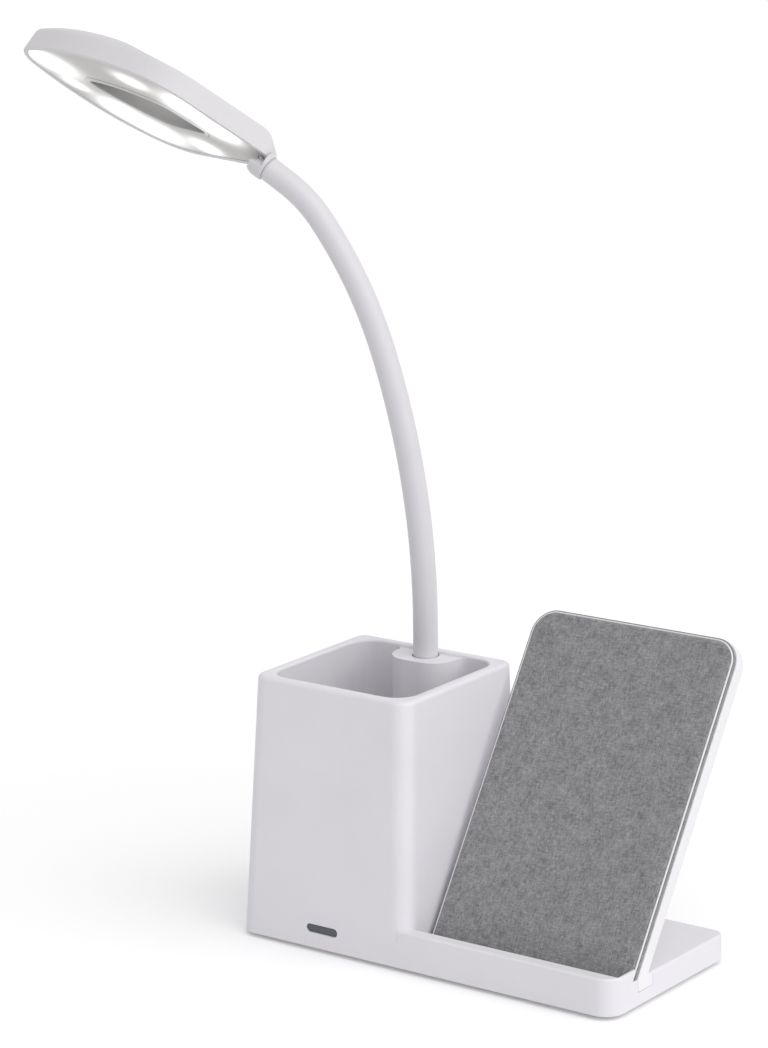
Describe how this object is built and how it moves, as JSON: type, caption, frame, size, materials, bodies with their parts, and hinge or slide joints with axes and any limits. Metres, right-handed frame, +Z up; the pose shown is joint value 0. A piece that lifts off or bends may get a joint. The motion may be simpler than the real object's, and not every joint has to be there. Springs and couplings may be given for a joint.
{
  "type": "desk lamp",
  "caption": "White LED gooseneck desk lamp on a low base with a pen cup and a leaning wireless charging stand for a phone.",
  "frame": {"origin": "on the table under the middle of the base's footprint", "axes": "+X to the user's right along the base, +Y to the back, +Z up"},
  "size_m": [0.2646, 0.0844, 0.3012],
  "materials": {
    "shell_white": "fine satin",
    "cover_white": "satin",
    "foot_rubber": "matt",
    "screw_steel": "zinc plated",
    "ballast_steel": "plain",
    "circuit_board": "solder mask",
    "lamp_board": "white solder mask",
    "component_black": "moulded",
    "socket_white": "moulded",
    "inlet_steel": "plated",
    "window_dark": "dark tinted",
    "indicator": "clear",
    "stand_white": "fine satin",
    "frame_grey": "matt",
    "pad_fabric": "heathered felt weave",
    "coil_copper": "enamelled copper wire",
    "ferrite": "sintered",
    "neck_steel": "plain",
    "neck_white": "satin silicone",
    "lead_white": "satin",
    "head_white": "fine satin",
    "diffuser_opal": "opal, translucent",
    "led_yellow": "phosphor"
  },
  "bodies": {
    "base": {"base_housing": "shell_white", "bottom_cover": "cover_white", "rubber_feet": "foot_rubber", "cover_screws": "screw_steel", "ballast_plate": "ballast_steel", "main_board": "circuit_board", "board_screws": "screw_steel", "power_components": "component_black", "board_sockets": "socket_white", "power_inlet": "inlet_steel", "touch_window": "window_dark", "touch_board": "circuit_board", "indicator_led": "indicator", "stand_rear_shell": "stand_white", "stand_front_frame": "frame_grey", "stand_screws": "screw_steel", "stand_back_screws": "screw_steel", "charging_pad": "pad_fabric", "ledge_pad": "pad_fabric", "charging_coil": "coil_copper", "ferrite_sheet": "ferrite", "charger_board": "circuit_board", "charger_board_screws": "screw_steel", "charger_components": "component_black", "charger_lead": "lead_white", "neck_ferrule": "neck_steel", "neck_washer": "neck_steel", "neck_nut": "neck_steel", "neck_sleeve": "neck_white", "lamp_lead": "lead_white"},
    "neck_01": {"neck_link_01": "neck_steel"},
    "neck_02": {"neck_link_02": "neck_steel"},
    "neck_03": {"neck_link_03": "neck_steel"},
    "neck_04": {"neck_link_04": "neck_steel"},
    "neck_05": {"neck_link_05": "neck_steel"},
    "neck_06": {"neck_link_06": "neck_steel"},
    "neck_07": {"neck_link_07": "neck_steel"},
    "neck_08": {"neck_link_08": "neck_steel"},
    "neck_09": {"neck_link_09": "neck_steel"},
    "neck_10": {"neck_link_10": "neck_steel"},
    "neck_11": {"neck_link_11": "neck_steel"},
    "neck_12": {"neck_link_12": "neck_steel"},
    "head": {"head_ferrule": "neck_steel", "head_top_shell": "head_white", "diffuser": "diffuser_opal", "led_board": "lamp_board", "led_board_screws": "screw_steel", "leds": "led_yellow"}
  },
  "joints": [
    {"name": "neck_bend_1", "type": "hinge", "parent": "base", "child": "neck_01", "pos_m": [-0.03975, 0.026, 0.0985], "axis": [0.2028, -0.9792, 0], "range_deg": [-14, 9], "deforming": ["neck_sleeve", "lamp_lead"]},
    {"name": "neck_sway_1", "type": "hinge", "parent": "neck_01", "child": "neck_02", "pos_m": [-0.03988, 0.02597, 0.11233], "axis": [0.9788, 0.2027, 0.0293], "range_deg": [-13, 13], "deforming": ["neck_sleeve", "lamp_lead"]},
    {"name": "neck_bend_2", "type": "hinge", "parent": "neck_02", "child": "neck_03", "pos_m": [-0.04058, 0.02583, 0.12615], "axis": [0.2028, -0.9792, 0], "range_deg": [-14, 9], "deforming": ["neck_sleeve", "lamp_lead"]},
    {"name": "neck_sway_2", "type": "hinge", "parent": "neck_03", "child": "neck_04", "pos_m": [-0.04191, 0.02555, 0.13991], "axis": [0.9721, 0.2013, 0.1207], "range_deg": [-13, 13], "deforming": ["neck_sleeve", "lamp_lead"]},
    {"name": "neck_bend_3", "type": "hinge", "parent": "neck_04", "child": "neck_05", "pos_m": [-0.04385, 0.02515, 0.1536], "axis": [0.2028, -0.9792, 0], "range_deg": [-14, 9], "deforming": ["neck_sleeve", "lamp_lead"]},
    {"name": "neck_sway_3", "type": "hinge", "parent": "neck_05", "child": "neck_06", "pos_m": [-0.04641, 0.02462, 0.16718], "axis": [0.9571, 0.1982, 0.2111], "range_deg": [-13, 13], "deforming": ["neck_sleeve", "lamp_lead"]},
    {"name": "neck_bend_4", "type": "hinge", "parent": "neck_06", "child": "neck_07", "pos_m": [-0.04957, 0.02397, 0.18063], "axis": [0.2028, -0.9792, 0], "range_deg": [-14, 9], "deforming": ["neck_sleeve", "lamp_lead"]},
    {"name": "neck_sway_4", "type": "hinge", "parent": "neck_07", "child": "neck_08", "pos_m": [-0.05334, 0.02319, 0.19392], "axis": [0.9342, 0.1935, 0.2998], "range_deg": [-13, 13], "deforming": ["neck_sleeve", "lamp_lead"]},
    {"name": "neck_bend_5", "type": "hinge", "parent": "neck_08", "child": "neck_09", "pos_m": [-0.0579, 0.02224, 0.20694], "axis": [0.2028, -0.9792, 0], "range_deg": [-14, 9], "deforming": ["neck_sleeve", "lamp_lead"]},
    {"name": "neck_sway_5", "type": "hinge", "parent": "neck_09", "child": "neck_10", "pos_m": [-0.06357, 0.02107, 0.2195], "axis": [0.8699, 0.1801, 0.4592], "range_deg": [-13, 13], "deforming": ["neck_sleeve", "lamp_lead"]},
    {"name": "neck_bend_6", "type": "hinge", "parent": "neck_10", "child": "neck_11", "pos_m": [-0.07032, 0.01967, 0.23149], "axis": [0.2028, -0.9792, 0], "range_deg": [-14, 9], "deforming": ["neck_sleeve", "lamp_lead"]},
    {"name": "neck_sway_6", "type": "hinge", "parent": "neck_11", "child": "neck_12", "pos_m": [-0.07816, 0.01805, 0.24276], "axis": [0.7449, 0.1543, 0.6491], "range_deg": [-13, 13], "deforming": ["neck_sleeve", "lamp_lead"]},
    {"name": "neck_bend_7", "type": "hinge", "parent": "neck_12", "child": "head", "pos_m": [-0.08828, 0.01595, 0.25189], "axis": [0.2028, -0.9792, 0], "range_deg": [-14, 9], "deforming": ["neck_sleeve", "lamp_lead"]}
  ],
  "couplings": [
    {"joint": "neck_bend_2", "follows": "neck_bend_1", "ratio": 1},
    {"joint": "neck_sway_2", "follows": "neck_sway_1", "ratio": 1},
    {"joint": "neck_bend_3", "follows": "neck_bend_1", "ratio": 1},
    {"joint": "neck_sway_3", "follows": "neck_sway_1", "ratio": 1},
    {"joint": "neck_bend_4", "follows": "neck_bend_1", "ratio": 1},
    {"joint": "neck_sway_4", "follows": "neck_sway_1", "ratio": 1},
    {"joint": "neck_bend_5", "follows": "neck_bend_1", "ratio": 1},
    {"joint": "neck_sway_5", "follows": "neck_sway_1", "ratio": 1},
    {"joint": "neck_bend_6", "follows": "neck_bend_1", "ratio": 1},
    {"joint": "neck_sway_6", "follows": "neck_sway_1", "ratio": 1},
    {"joint": "neck_bend_7", "follows": "neck_bend_1", "ratio": 1}
  ]
}
